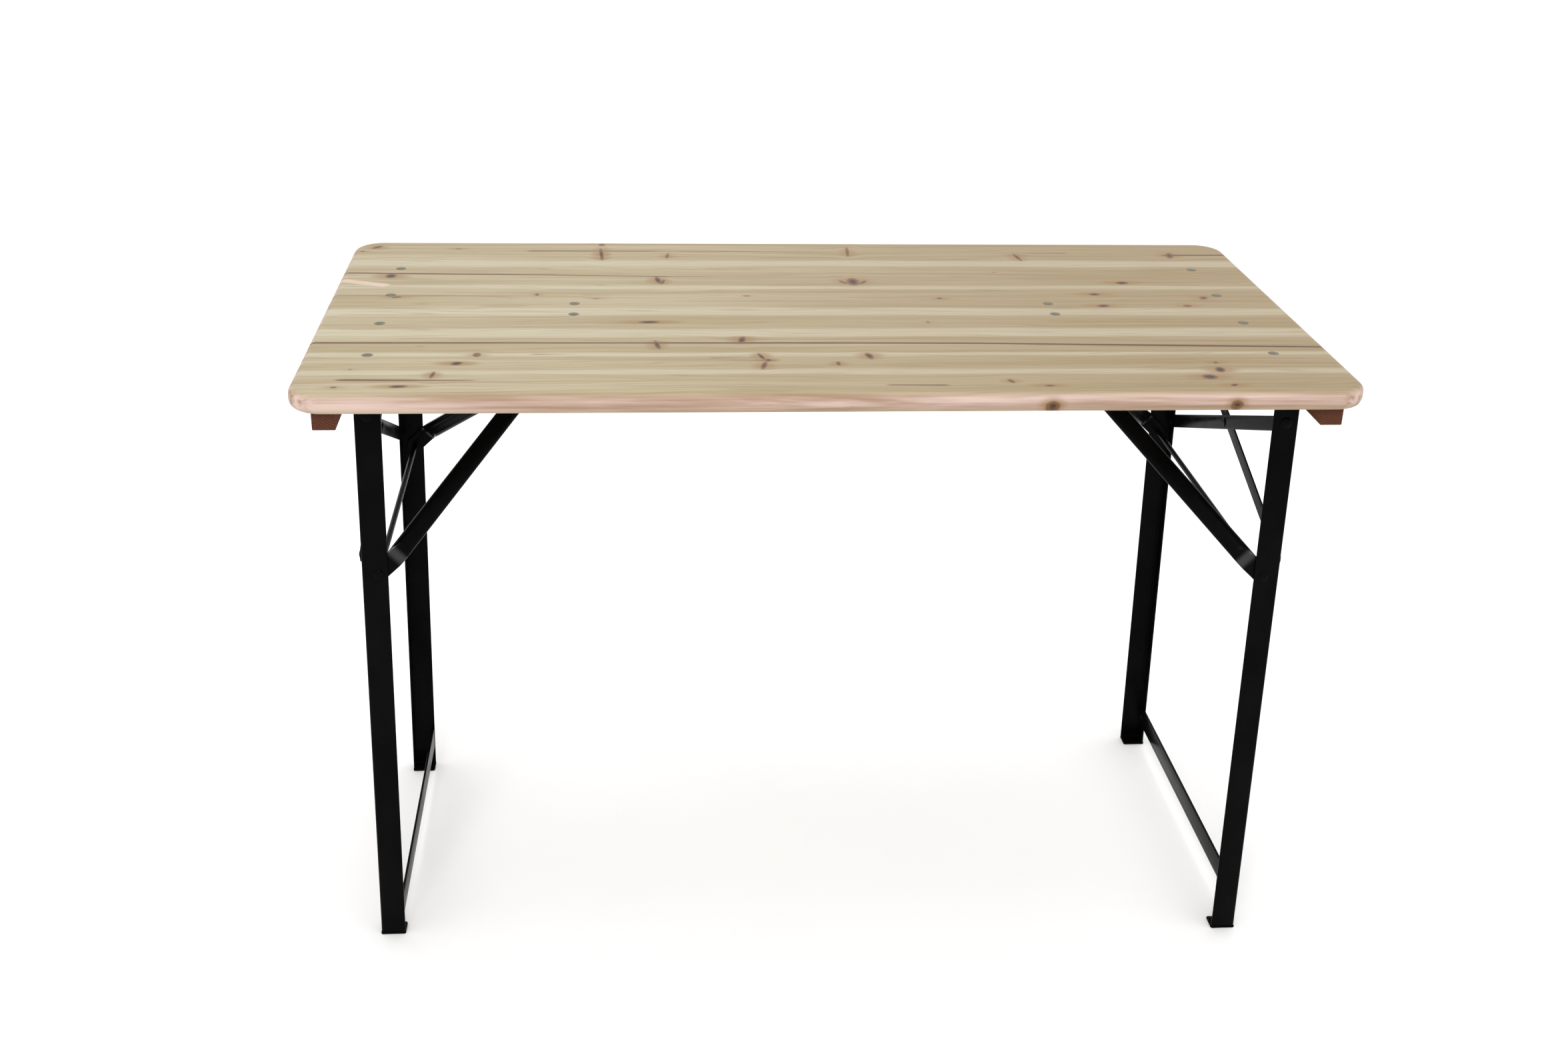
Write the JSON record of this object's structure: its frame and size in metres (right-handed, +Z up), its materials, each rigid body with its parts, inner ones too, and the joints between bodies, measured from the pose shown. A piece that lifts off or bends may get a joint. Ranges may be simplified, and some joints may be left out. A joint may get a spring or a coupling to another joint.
{
  "type": "folding picnic table",
  "caption": "Folding picnic table with a glued fir top and two black angle-iron leg frames that fold flat under it.",
  "frame": {"origin": "on the floor, under the middle of the top", "axes": "+X along the top towards the wide leg frame, -Y to the front long side, +Z up"},
  "size_m": [1.18, 0.6, 0.76],
  "materials": {
    "top_wood": "clear satin lacquer over knotty fir staves",
    "batten_wood": "stained softwood with open end grain",
    "black_paint": "gloss black dip paint on steel",
    "zinc": "dull zinc plate",
    "spring_steel": "blued spring steel"
  },
  "bodies": {
    "tabletop": {"top_stave_1": "top_wood", "top_stave_2": "top_wood", "top_stave_3": "top_wood", "top_stave_4": "top_wood", "top_stave_5": "top_wood", "top_stave_6": "top_wood", "top_stave_7": "top_wood", "left_batten": "batten_wood", "left_hinge_rail": "black_paint", "left_latch_bracket": "black_paint", "left_latch_spring": "spring_steel", "left_front_hinge_lug": "black_paint", "left_front_hinge_pin": "black_paint", "left_back_hinge_lug": "black_paint", "left_back_hinge_pin": "black_paint", "left_rail_bolt_1": "zinc", "left_rail_bolt_2": "zinc", "left_rail_bolt_3": "zinc", "left_rail_bolt_4": "zinc", "left_latch_bolt_1": "zinc", "left_latch_bolt_2": "zinc", "right_batten": "batten_wood", "right_hinge_rail": "black_paint", "right_latch_bracket": "black_paint", "right_latch_spring": "spring_steel", "right_front_hinge_lug": "black_paint", "right_front_hinge_pin": "black_paint", "right_back_hinge_lug": "black_paint", "right_back_hinge_pin": "black_paint", "right_rail_bolt_1": "zinc", "right_rail_bolt_2": "zinc", "right_rail_bolt_3": "zinc", "right_rail_bolt_4": "zinc", "right_latch_bolt_1": "zinc", "right_latch_bolt_2": "zinc"},
    "left_leg_frame": {"left_front_leg": "black_paint", "left_front_foot": "black_paint", "left_back_leg": "black_paint", "left_back_foot": "black_paint", "left_inner_brace": "black_paint", "left_outer_brace": "black_paint", "left_brace_rivet": "black_paint", "left_lower_crossbar": "black_paint", "left_strut_axle": "black_paint"},
    "right_leg_frame": {"right_front_leg": "black_paint", "right_front_foot": "black_paint", "right_back_leg": "black_paint", "right_back_foot": "black_paint", "right_inner_brace": "black_paint", "right_outer_brace": "black_paint", "right_brace_rivet": "black_paint", "right_lower_crossbar": "black_paint", "right_strut_axle": "black_paint"},
    "left_strut": {"left_front_strut_arm": "black_paint", "left_back_strut_arm": "black_paint", "left_strut_nose": "black_paint"},
    "right_strut": {"right_front_strut_arm": "black_paint", "right_back_strut_arm": "black_paint", "right_strut_nose": "black_paint"}
  },
  "joints": [
    {"name": "left_legs_fold", "type": "hinge", "parent": "tabletop", "child": "left_leg_frame", "pos_m": [-0.518, 0, 0.7], "axis": [0, -1, 0], "range_deg": [0, 91.1]},
    {"name": "right_legs_fold", "type": "hinge", "parent": "tabletop", "child": "right_leg_frame", "pos_m": [0.518, 0, 0.7], "axis": [0, 1, 0], "range_deg": [0, 90.1]},
    {"name": "left_strut_fold", "type": "hinge", "parent": "left_leg_frame", "child": "left_strut", "pos_m": [-0.51774, 0, 0.50496], "axis": [0, 1, 0], "range_deg": [0, 135.2]},
    {"name": "right_strut_fold", "type": "hinge", "parent": "right_leg_frame", "child": "right_strut", "pos_m": [0.51774, 0, 0.50496], "axis": [0, -1, 0], "range_deg": [0, 136.2]}
  ],
  "couplings": [
    {"joint": "left_strut_fold", "follows": "left_legs_fold", "ratio": 1.484},
    {"joint": "right_strut_fold", "follows": "right_legs_fold", "ratio": 1.5116}
  ]
}
